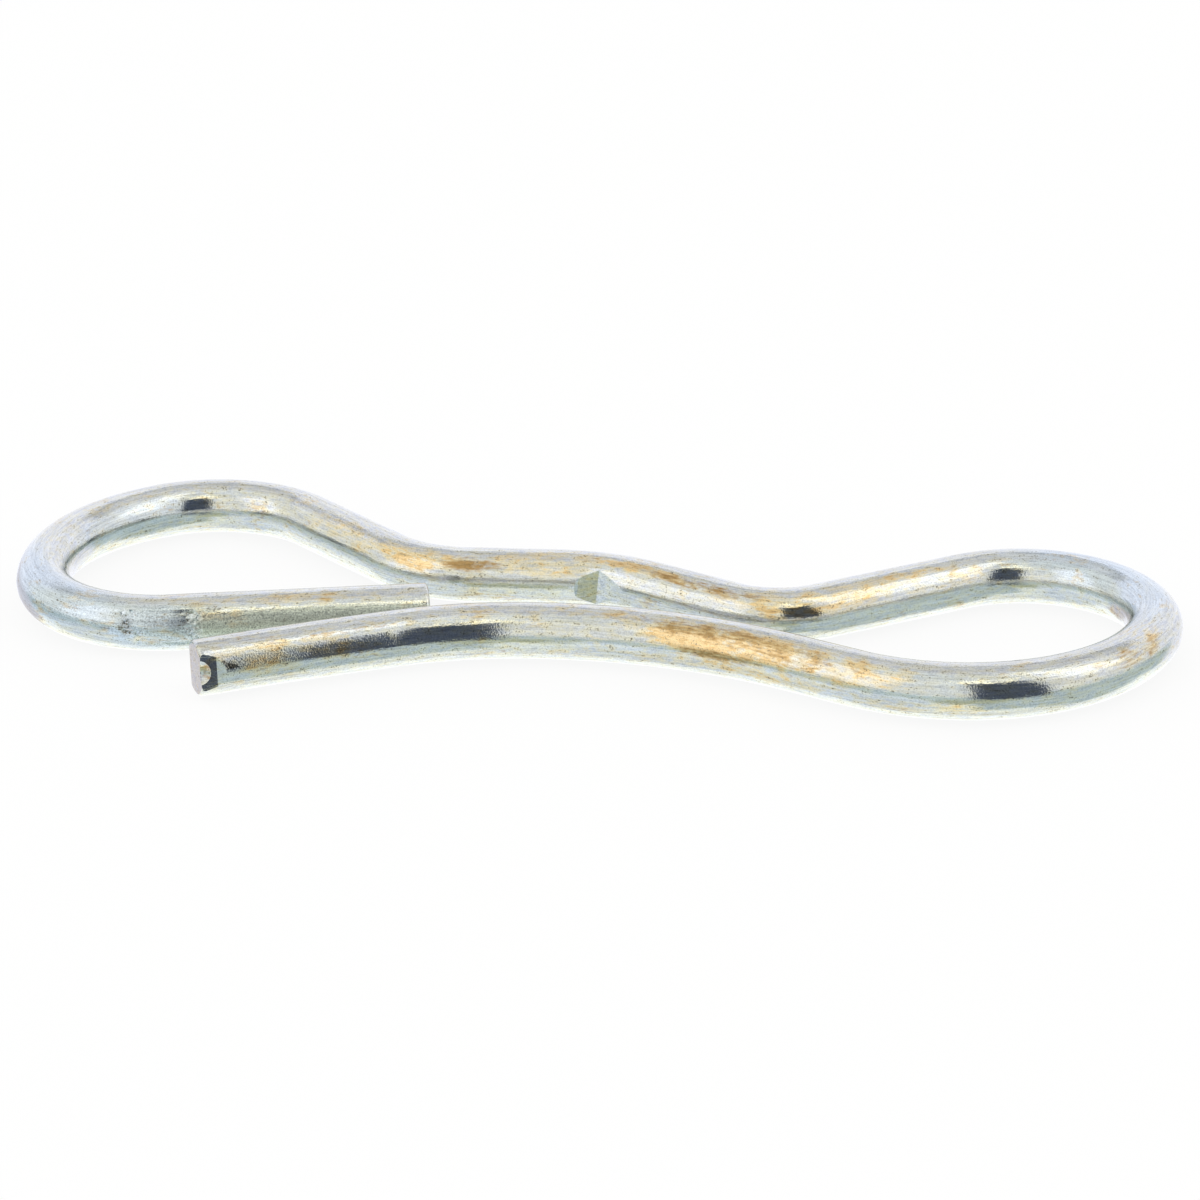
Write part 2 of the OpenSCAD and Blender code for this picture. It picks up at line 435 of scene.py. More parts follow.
def prism(name: str, outline: Sequence[Pair], reach: float, stand: Matrix) -> Mesh:
    """Makes a closed prism.

    Args:
        name: Name of its mesh.
        outline: Corners of its outline, in mm.
        reach: How far it reaches above and below the outline's plane, in mm.
        stand: Where the outline stands, in mm.

    Returns:
        Its mesh, in metres.
    """
    area = sum(a[0] * b[1] - b[0] * a[1] for a, b in zip(outline, outline[1:] + outline[:1]))
    ring = outline if area > 0 else outline[::-1]
    n = len(ring)
    corners = [MM * (stand @ Vector((x, y, z))) for z in (-reach, reach) for x, y in ring]
    faces = [list(range(n))[::-1], list(range(n, 2 * n))]
    faces += [[i, (i + 1) % n, (i + 1) % n + n, i + n] for i in range(n)]
    mesh = bpy.data.meshes.new(name)
    mesh.from_pydata(corners, [], faces)
    return mesh


@dataclass(frozen=True)
class PunchDent:
    """V-shaped dent that the forming punch left on the front of the saddle, in mm and degrees.

    Attributes:
        place_x: Place of its middle along the cotter, as the posts count it.
        depth: Depth of its crease.
        lean: How far its crease leans from upright.
        run_on: Length of the wedge that cuts it as a share of its own, to end outside the wire.
        skew: How far its crease lies to the left of its middle.
        shoulder: Distance of its left shoulder from its middle, and the shoulder's depth.
        wall: Length of the steep wall between the shoulder and the left rim.
        wall_run_on: Length of the wedge's own wall as a share of that, to end outside the wire.
    """

    place_x: float = -0.6
    depth: float = 0.57
    length: float = 4.6
    lean: float = 6.0
    run_on: float = 1.3
    skew: float = 0.35
    shoulder: Pair = (1.85, 0.17)
    wall: float = 0.25
    wall_run_on: float = 3.0

    def cutter(self, path: WirePath) -> Mesh:
        """Makes the wedge that the dent is cut with.

        Args:
            path: Axis of the wire.

        Returns:
            The wedge's mesh, in metres.
        """
        saddle = path.crest(path.saddle, Turn.RIGHT)
        heading = -math.asin((self.place_x - path.saddle[0]) / saddle.axis_r)
        place = path.touch(saddle, heading) - path.origin
        bent_r = path.wire_r * (1 - path.bend_thinning * path.wire_d / saddle.axis_r)
        half = self.length / 2
        bottom = self.depth - bent_r
        out, sunk = self.shoulder
        rim, front, left_rim = (math.sqrt((saddle.axis_r - bent_r) ** 2 - x**2) - saddle.axis_r
                                for x in (half, out, out + self.wall))
        foot = bottom + self.run_on * (rim - bottom)
        ledge = front + sunk
        wall_foot = ledge + self.wall_run_on * (left_rim - ledge)
        outline = [(-self.skew, bottom), (-out, ledge), (-out - self.wall_run_on * self.wall, wall_foot),
                   (self.run_on * half, foot)]
        turned = Matrix.Rotation(heading, 4, "Z") @ Matrix.Rotation(math.radians(self.lean), 4, "Y")
        return prism("punch_dent", outline, path.wire_d, Matrix.Translation((*place, path.wire_r)) @ turned)


@dataclass(frozen=True)
class JawMark:
    """Mark that one jaw of the cutter pressed into the tip, in mm and degrees.

    Attributes:
        depth: How deep the jaw bit at the wire's end.
        side: Side of the wire that the jaw stood on: 0 in front, 180 behind.
        lean: How far the jaw leaned from upright.
        flat: Length of the nearly flat stretch at the end.
        ramp_slope: Slope of the ramp back to the round wire.
    """

    name: str
    depth: float
    side: float
    lean: float = 7.0
    flat: float = 1.25
    flat_slope: float = 12.0
    ramp_slope: float = 25.0

    def stand(self, path: WirePath) -> Matrix:
        """Gives where the jaw stands, at the end of the tip and turned to its side.

        Args:
            path: Axis of the wire.

        Returns:
            The stand, in mm.
        """
        places, headings = path.walk(np.array([path.length]))
        ahead = Matrix.Rotation(headings[0], 4, "Z")
        turned = Matrix.Rotation(math.radians(self.side + self.lean), 4, "X")
        return Matrix.Translation((*places[0], path.wire_r)) @ (ahead @ turned)

    def cutter(self, path: WirePath) -> Mesh:
        """Makes the prism that the mark is cut with.

        Args:
            path: Axis of the wire.

        Returns:
            The prism's mesh, in metres.
        """
        face = path.wire_r - self.depth
        rise = math.tan(math.radians(self.flat_slope))
        crease = face + self.flat * rise
        foot = self.flat + (path.wire_d - crease) / math.tan(math.radians(self.ramp_slope))
        outline = [(path.wire_r, face - path.wire_r * rise), (-self.flat, crease),
                   (-foot, path.wire_d), (path.wire_r, path.wire_d)]
        return prism(self.name, outline, path.wire_d, self.stand(path))


@dataclass(frozen=True)
class EdgeNick:
    """Shallow round nick in the flat of a jaw's mark, at the edge of the wire's end, in mm.

    Attributes:
        jaw: The jaw's mark.
        width: Width of the nick, up and down the wire's end.
        fineness: How often the faces of the ball that cuts it are split.
    """

    jaw: JawMark
    width: float = 2.0
    depth: float = 0.2
    reach: float = 0.8
    fineness: int = 5

    def cutter(self, path: WirePath) -> Mesh:
        """Makes the ball that the nick is cut with.

        Args:
            path: Axis of the wire.

        Returns:
            The ball's mesh, in metres.
        """
        ball_r = ((self.width / 2) ** 2 + self.depth**2) / (2 * self.depth)
        flat = Matrix.Translation((0, path.wire_r - self.jaw.depth, 0))
        tilt = Matrix.Rotation(-math.radians(self.jaw.flat_slope), 4, "Z")
        middle = Matrix.Translation((self.width / 2 - self.reach, ball_r - self.depth, 0))
        stand = self.jaw.stand(path) @ flat @ tilt @ middle
        ball = bmesh.new()
        bmesh.ops.create_icosphere(ball, subdivisions=self.fineness, radius=ball_r * MM)
        bmesh.ops.translate(ball, vec=MM * stand.translation, verts=ball.verts)
        mesh = bpy.data.meshes.new("edge_nick")
        ball.to_mesh(mesh)
        ball.free()
        return mesh


@dataclass(frozen=True)
class DieMark:
    """Tongue-shaped flat that the bending die pressed into the front of the left loop, in mm and degrees.

    Attributes:
        start: Where it starts, from the end of the leg.
        step: Where its floor ends in a ragged step.
        apex: Where the shallow tongue past the step runs out.
        angle: Angle of its middle round the wire.
        spread: Half of its angle round the wire.
        tongue: Depth of the tongue just past the step.
        burr: Height of the crumbs that the die's edge raised round the start.
        rag: Length and angle of the waves in its ragged edges, and their layer.
        crumb: Length and angle of a crumb, and their layer.
        start_soft: Length over which its start fades in.
        step_rag: How far the step wanders.
        step_lean: How far the step lies back for each degree round the wire.
        side_rag: Share of its width by which its side edges wander.
        side_soft: Share of its width over which they fade, first at the floor and then at the tongue.
        burr_line: How far past the start the crumbs lie, how far that wanders, and how far they reach.
        torn: Share of the tongue that has crumbs at the step, and their height as a share of the burr.
        crumble: Even share of the crumbs' height, and how much it changes.
        margin: How far before its start and past its apex it can reach.
    """

    start: float = 18.6
    step: float = 23.4
    apex: float = 26.3
    angle: float = 8.0
    spread: float = 42.0
    depth: float = 0.11
    tongue: float = 0.08
    burr: float = 0.09
    rag: Triple = (0.9, 14.0, 0.0)
    crumb: Triple = (0.28, 6.0, 5.0)
    start_soft: float = 0.7
    step_rag: float = 0.9
    step_lean: float = 0.012
    side_rag: float = 0.10
    side_soft: Pair = (0.2, 0.35)
    burr_line: Triple = (0.2, 0.6, 1.1)
    torn: Pair = (0.18, 0.5)
    crumble: Pair = (0.6, 1.6)
    margin: Pair = (1.0, 0.2)

    def depth_at(self, along: np.ndarray, angle: np.ndarray) -> np.ndarray:
        """Gives how deep the surface lies under the round wire.

        Args:
            along: Distances of the places from the end of the leg, in mm.
            angle: Their angles round the wire, in degrees.

        Returns:
            Depths, in mm.
        """
        turned = turn_from(self.angle, angle)
        depth = np.zeros(len(along))
        near = (along > self.start - self.margin[0]) & (along < self.apex + self.margin[1])
        for i in np.flatnonzero(near):
            depth[i] = self._depth(float(along[i]), float(turned[i]))
        return depth

    def _depth(self, along: float, turned: float) -> float:
        """Gives the depth at one place.

        Args:
            along: Distance of the place from the end of the leg, in mm.
            turned: Its angle round the wire from the mark's middle, in degrees.

        Returns:
            The depth, in mm.
        """
        rough, crumbs = (noise.noise(Vector((along / length, turned / angle, layer)))
                         for length, angle, layer in (self.rag, self.crumb))
        step = self.step + self.step_rag * rough + self.step_lean * turned
        past = (along - step) / (self.apex - self.step)
        side = abs(turned) / self.spread * (1.0 + self.side_rag * rough)
        edge = float(ease((1.0 - side) / self.side_soft[0]))
        floor = self.depth * edge * float(ease((along - self.start) / self.start_soft + rough))
        if past > 0.0:
            reach = max(0.0, 1.0 - past)
            narrow = side / max(math.sqrt(reach), TINY)
            floor = self.tongue * float(ease((1.0 - narrow) / self.side_soft[1])) * reach
        line, wander, breadth = self.burr_line
        near = float(ease(1.0 - abs(along - self.start - line - wander * rough) / breadth))
        torn = self.torn[1] * float(ease(1.0 - abs(past) / self.torn[0]))
        return floor + self.burr * max(near, torn) * edge * (self.crumble[0] + self.crumble[1] * crumbs)


class StainOrShade(Enum):
    """What has changed the plate in a place, or where shade is painted on it."""

    STRAW = "straw"
    BROWN = "brown"
    BLUE = "blue"
    DULL = "dull"
    # Painted shade: dark along the edges and steps of the tools' marks, where shade falls, not a stain of
    # the plate
    PAINTED_SHADE = "painted_shade"


STRAW, BROWN, BLUE, DULL, PAINTED_SHADE = StainOrShade
# Where a bloom is at its full strength and where it has faded, as shares of its half size
FULL, FADED = 0.6, 1.4


@dataclass(frozen=True)
class Bloom:
    """Soft-edged patch of one stain, or of painted shade, on the plate.

    Attributes:
        along: Distance of its middle from the end of the leg, in mm.
        angle: Angle of its middle round the wire, in degrees: 0 on its left side and 90 on top.
        reach: Half of its length, in mm.
        spread: Half of its angle round the wire, in degrees.
        strength: How strong it is in the middle, where 1 is full.
    """

    stain_or_shade: StainOrShade
    along: float
    angle: float
    reach: float
    spread: float
    strength: float

    def at(self, along: np.ndarray, angle: np.ndarray) -> np.ndarray:
        """Gives its strength at places on the wire, in mm along and degrees round."""
        away = np.hypot((along - self.along) / self.reach, turn_from(self.angle, angle) / self.spread)
        return self.strength * ease((FADED - away) / (FADED - FULL))


BLOOMS = tuple(Bloom(*row) for row in (
    # Leg: straw along the top, rubbed dull as far as the die's mark, with painted shade in the mark's edges
    # and at its step
    (STRAW, 9, 64, 11, 14, 0.45),
    (DULL, 8, 10, 13, 30, 1.5),
    (DULL, 20.5, 15, 4.2, 52, 0.75),
    (DULL, 28, 45, 8, 50, 0.45),
    (PAINTED_SHADE, 18.9, 22, 1.3, 26, 0.3),
    (BLUE, 21.8, 6, 3.6, 60, 0.9),
    (PAINTED_SHADE, 17.2, 46, 0.7, 6, 0.6),
    (PAINTED_SHADE, 23.6, 12, 0.5, 26, 0.5),
    (STRAW, 16.8, 20, 2.2, 22, 0.45),
    (STRAW, 22.9, -20, 0.6, 12, 0.4),
    # Left loop: blue where the bend is widest
    (BLUE, 32, 45, 9, 60, 1.0),
    (BLUE, 50, 155, 9, 34, 0.7),
    # Rear strand: straw that turns brown on both sides of the dent
    (STRAW, 50, 116, 5, 9, 0.3),
    (STRAW, 77, 130, 5, 30, 0.6),
    (STRAW, 84, 132, 4, 26, 1.0),
    (BROWN, 88.5, 138, 2.6, 13, 0.9),
    (BROWN, 86.5, 122, 5, 9, 0.3),
    (STRAW, 94, 122, 6, 26, 0.7),
    (STRAW, 94, 147, 3.4, 15, 0.7),
    (STRAW, 104, 118, 6, 13, 1.0),
    (BROWN, 109, 122, 5, 13, 0.65),
    (STRAW, 118, 132, 9, 30, 0.75),
    (STRAW, 124, 118, 7, 14, 0.8),
    (STRAW, 128, 140, 5, 30, 0.5),
    (BROWN, 130, 128, 4, 14, 0.25),
    # Right loop
    (BLUE, 147, 110, 12, 60, 0.9),
    (STRAW, 162, 48, 4, 26, 0.6),
    (BROWN, 163.5, 50, 1.1, 9, 0.6),
    (BROWN, 161.5, 38, 3, 22, 0.35),
    (STRAW, 170, 4, 3, 8, 0.5),
    (BLUE, 180, 30, 4, 40, 0.6),
    # Front strand: the strongest of the straw and brown
    (STRAW, 186, 35, 7, 34, 0.7),
    (BROWN, 189, 38, 5, 24, 0.45),
    (BROWN, 193.5, 36, 3.5, 12, 0.5),
    (STRAW, 196, 38, 8, 40, 1.1),
    (BROWN, 197, 54, 6, 16, 0.75),
    (BROWN, 196, 6, 4, 9, 0.65),
    (STRAW, 190, -16, 20, 15, 0.65),
    (STRAW, 208, 62, 8, 12, 0.35),
    (STRAW, 205, 10, 6, 20, 0.4),
    (STRAW, 222, 58, 12, 12, 0.3),
    (BROWN, 228, 54, 5, 6, 0.4),
    # Tip: straw, with painted shade in the nick and in the corner where the jaw's mark runs out
    (STRAW, 233, 24, 6, 34, 0.65),
    (DULL, 234.5, 22, 3.5, 28, 0.6),
    (STRAW, 239, 8, 0.8, 40, 0.6),
    (BROWN, 239.4, 8, 0.35, 26, 0.6),
    (PAINTED_SHADE, 237.4, 14, 0.4, 3, 1.0),
    (PAINTED_SHADE, 237.75, 20, 0.35, 4, 0.9),
    (PAINTED_SHADE, 238.1, 27, 0.3, 4, 0.6),
))


@dataclass(frozen=True)
class Texture:
    """One fine texture of the plate.

    Attributes:
        length: Length of its marks along the wire, in mm.
        width: Their width round the wire, in mm.
        detail: How many finer layers it has.
        tone: How much it changes how light the plate is.
    """

    length: float
    width: float
    detail: float = 1.0
    tone: float = 0.0

    def add(self, tree: Tree, drawn: Socket) -> Socket:
        """Adds the texture to a material.

        Args:
            tree: The material's node tree.
            drawn: Place on the wire as it was drawn straight, in metres.

        Returns:
            The texture, from 0 to 1.
        """
        scale = (1.0 / (self.length * MM), 1.0 / (self.width * MM), 1.0 / (self.width * MM))
        links = {"Vector": times(tree, drawn, scale), "Scale": 1.0, "Detail": self.detail}
        return node(tree, "ShaderNodeTexNoise", links).outputs["Fac"]


@dataclass(frozen=True)
class Tint:
    """Colour that a stain, or the painted shade, gives the plate.

    Attributes:
        code: The colour.
        breakup: How far a texture breaks up its patches.
        edges: Strengths at which a patch begins to show and is full.
    """

    code: str
    breakup: float
    edges: Pair = (0.25, 1.0)

    def patch(self, tree: Tree, stain_or_shade: Socket, texture: Socket) -> Socket:
        """Adds its patches, which are where the stain or the painted shade is strong and broken up by a
        texture.
        """
        return remap(tree, varied(tree, stain_or_shade, texture, self.breakup), self.edges)


@dataclass(frozen=True)
class ZincPlate:
    """Bright zinc electroplate with a clear chromate passivate, over drawn spring wire.

    The zinc gives a pale silver-grey mirror that draw lines break up, and the passivate tints it:
    faint blue on the open bends, straw and brown where forming has worked it. Where tools have
    rubbed it, the shine is dull and grainy. Painted shade darkens the edges of the tools' marks.
    A pair is the value where it shines and where it is dull.

    Attributes:
        warm: Warmer colour of the clean plate, and cool is its cooler one.
        dull: Tint where it is rubbed, as blue, straw and brown are those of the other stains; the last tint
            gives the painted shade its colour.
        amber: Colour of the flecks in the strongest straw.
        amber_from: Strength of straw from which they show, and amber_share is how far they cover it.
        warmed: Levels of the mottles between which the warmer colour comes in.
        specks: Levels of the grain between which dark specks come in.
        scratches: Levels of the lines between which scratches do, and scratch_share is how dark they are.
        light: How light it is before the textures change that.
        grit: Pair of how much the grain changes that.
        uneven: How much lines and flecks change the roughness.
        relief: Depth of its fine relief, in mm.
        rough: Pair of how strong grain and mottles are in the relief.
        calmed: Share of the relief that is left on the faces that tools have cut.
        cut_r: Distances from the wire's axis at which those faces end and the round wire begins, in mm.
    """

    name: str = "zinc_plate_over_drawn_wire"
    warm: str = "#D3D2C4"
    cool: str = "#CCD0D4"
    blue: Tint = Tint("#C6D0D8", 1.0)
    straw: Tint = Tint("#DECFAA", 1.6)
    brown: Tint = Tint("#A98A5C", 1.6)
    dull: Tint = Tint("#CBD1C5", 0.6)
    # Dark colour of the painted shade in the marks' edges, which also colours the specks and scratches
    painted_shade: Tint = Tint("#5A564E", 2.5)
    amber: str = "#DDAC60"
    amber_from: float = 0.8
    amber_share: float = 0.75
    warmed: Pair = (0.38, 0.62)
    specks: Pair = (0.70, 0.80)
    scratches: Pair = (0.66, 0.78)
    scratch_share: float = 0.6
    lines: Texture = Texture(2.4, 0.12, 2.0, 0.7)
    bands: Texture = Texture(9.0, 0.40, 3.0, 0.45)
    clouds: Texture = Texture(2.4, 1.5, 4.0)
    drifts: Texture = Texture(16.0, 5.0, 2.0)
    mottles: Texture = Texture(0.9, 0.32, 5.0, 0.65)
    flecks: Texture = Texture(0.65, 0.182)
    grain: Texture = Texture(0.13, 0.13)
    light: float = 1.03
    grit: Pair = (0.8, 2.2)
    roughness: Pair = (0.11, 0.38)
    uneven: float = 0.10
    relief: float = 0.008
    rough: Pair = (1.0, 3.2)
    calmed: float = 0.15
    cut_r: Pair = (2.00, 2.10)

    def build(self) -> Material:
        """Makes the material.

        Returns:
            The material.
        """
        material = bpy.data.materials.new(self.name)
        tree = cleared(material)
        drawn = node(tree, "ShaderNodeAttribute", attribute_name=DRAWN).outputs["Vector"]
        stains_and_shade = {s: node(tree, "ShaderNodeAttribute", attribute_name=s.value).outputs["Fac"] for s in StainOrShade}
        lines, bands, clouds, drifts, mottles, flecks, grain = (texture.add(tree, drawn) for texture in (
            self.lines, self.bands, self.clouds, self.drifts, self.mottles, self.flecks, self.grain))
        rolled = self._rolled(tree, drawn)

        blue = self.blue.patch(tree, stains_and_shade[BLUE], clouds)
        dull = self.dull.patch(tree, stains_and_shade[DULL], clouds)
        straw = self.straw.patch(tree, varied(tree, stains_and_shade[STRAW], drifts, share=0.3),
                                 varied(tree, mottles, clouds, share=1.5))
        brown = self.brown.patch(tree, stains_and_shade[BROWN], varied(tree, clouds, flecks, share=0.9))
        # Painted shade in the edges of the tools' marks, broken up by grain and mottles
        painted_shade = self.painted_shade.patch(tree, stains_and_shade[PAINTED_SHADE], varied(tree, grain, mottles, share=1.0))
        strongest = remap(tree, straw, (self.amber_from, 1.0), (0.0, self.amber_share))
        amber = calc(tree, "MULTIPLY", strongest, flecks)
        specks = remap(tree, grain, self.specks)
        scratches = remap(tree, lines, self.scratches, (0.0, self.scratch_share))
        marks = calc(tree, "MULTIPLY", calc(tree, "MAXIMUM", specks, scratches), rolled)
        # Specks and scratches on the round wire, with the painted shade added, all take the painted shade's
        # dark colour
        marks_and_painted_shade = remap(tree, calc(tree, "MULTIPLY_ADD", marks, clouds, painted_shade))
        colour: Any = linear(self.cool)
        for amount, code in ((remap(tree, mottles, self.warmed), self.warm), (dull, self.dull.code),
                             (blue, self.blue.code), (straw, self.straw.code), (amber, self.amber),
                             (brown, self.brown.code), (marks_and_painted_shade, self.painted_shade.code)):
            colour = over(tree, colour, amount, linear(code))
        light: Any = self.light
        for texture, share in ((bands, self.bands.tone), (lines, self.lines.tone),
                               (mottles, self.mottles.tone), (grain, remap(tree, dull, to=self.grit))):
            light = varied(tree, light, texture, share)

        roughness = remap(tree, dull, to=self.roughness)
        for texture in (lines, flecks):
            roughness = varied(tree, roughness, texture, self.uneven)
        rough = remap(tree, dull, to=self.rough)
        height = varied(tree, varied(tree, lines, grain, rough), mottles, rough)
        strength = remap(tree, rolled, to=(self.calmed, 1.0))
        relief = {"Height": height, "Distance": self.relief * MM, "Strength": strength}
        bump = node(tree, "ShaderNodeBump", relief)
        shader = node(tree, "ShaderNodeBsdfPrincipled",
                      {"Base Color": scaled(tree, colour, light), "Metallic": 1.0, "Roughness": roughness,
                       "Normal": bump.outputs[0]})
        node(tree, "ShaderNodeOutputMaterial", {"Surface": shader.outputs[0]})
        return material

    def _rolled(self, tree: Tree, drawn: Socket) -> Socket:
        """Adds a mask that is 1 on the round wire and 0 on the faces that tools have cut.

        Args:
            tree: The material's node tree.
            drawn: Place on the wire as it was drawn straight, in metres.

        Returns:
            The mask.
        """
        across = times(tree, drawn, (0, 1, 1))
        off = node(tree, "ShaderNodeVectorMath", {0: across}, operation="LENGTH").outputs["Value"]
        return remap(tree, off, [r * MM for r in self.cut_r])


@dataclass
class WireSweep:
    """Geometry Nodes tree that sweeps the wire's round section along its axis.

    Waviness is the depth of the faint waves in the wire's surface, and wave is their length, in mm.
    """

    sides: int = 112
    waviness: float = 0.012
    wave: float = 3.5
    seed: int = 7

    def tree(self) -> Tree:
        """Builds the tree with named inputs.

        Returns:
            The tree.
        """
        tree = bpy.data.node_groups.new("drawn_wire_sweep", "GeometryNodeTree")
        face = tree.interface
        face.new_socket("Axis", in_out="INPUT", socket_type="NodeSocketGeometry")
        kinds = {"Sides": "Int", "Waviness": "Float", "Seed": "Float", "Plate": "Material"}
        for name, kind in kinds.items():
            face.new_socket(name, in_out="INPUT", socket_type="NodeSocket" + kind)
        face.new_socket("Wire", in_out="OUTPUT", socket_type="NodeSocketGeometry")
        entry = node(tree, "NodeGroupInput").outputs
        ring = node(tree, "GeometryNodeCurvePrimitiveCircle", {"Resolution": entry["Sides"], "Radius": 1.0})
        radius = node(tree, "GeometryNodeInputRadius").outputs[0]
        section = {"Profile Curve": ring.outputs[0], "Scale": radius, "Fill Caps": True}
        swept = node(tree, "GeometryNodeCurveToMesh", {"Curve": entry["Axis"], **section})
        pattern = {"W": entry["Seed"], "Scale": 1.0 / (self.wave * MM), "Detail": 1.0}
        waves = node(tree, "ShaderNodeTexNoise", pattern, noise_dimensions="4D")
        height = calc(tree, "MULTIPLY", waves.outputs["Fac"], entry["Waviness"])
        inward = calc(tree, "MULTIPLY", height, -1.0)
        offset = scaled(tree, node(tree, "GeometryNodeInputNormal").outputs[0], inward)
        moved = node(tree, "GeometryNodeSetPosition", {"Geometry": swept.outputs[0], "Offset": offset})
        smooth = node(tree, "GeometryNodeSetShadeSmooth", {"Geometry": moved.outputs[0]})
        real = node(tree, "GeometryNodeRealizeInstances", {"Geometry": smooth.outputs[0]})
        dressed = node(tree, "GeometryNodeSetMaterial",
                       {"Geometry": real.outputs[0], "Material": entry["Plate"]})
        node(tree, "NodeGroupOutput", {"Wire": dressed.outputs[0]})
        return tree

    def sweep(self, path: WirePath, along: np.ndarray, plate: Material) -> Mesh:
        """Sweeps the wire.

        Args:
            path: Axis of the wire.
            along: Distances of its rings from the end of the leg, in mm.
            plate: Its material.

        Returns:
            A plain mesh, in metres.
        """
        places, _ = path.walk(along)
        points = np.column_stack([places, np.full(len(along), path.wire_r), np.ones(len(along))])
        points[:, :3] *= MM
        curve = bpy.data.curves.new("wire_axis", "CURVE")
        curve.dimensions = "3D"
        spline = curve.splines.new("POLY")
        spline.points.add(len(along) - 1)
        spline.points.foreach_set("co", points.astype(np.float32).ravel())
        spline.points.foreach_set("radius", (path.radius(along) * MM).astype(np.float32))
        axis = placed("wire_axis", curve)
        modifier = axis.modifiers.new("sweep", "NODES")
        modifier.node_group = self.tree()
        values = {"Sides": self.sides, "Waviness": self.waviness * MM, "Seed": float(self.seed),
                  "Plate": plate}
        for item in modifier.node_group.interface.items_tree:
            if item.in_out == "INPUT" and item.name in values:
                modifier[item.identifier] = values[item.name]
        bpy.context.view_layer.update()
        graph = bpy.context.evaluated_depsgraph_get()
        mesh = bpy.data.meshes.new_from_object(axis.evaluated_get(graph), depsgraph=graph)
        axis.modifiers.clear()
        bpy.data.objects.remove(axis)
        bpy.data.curves.remove(curve)
        return mesh


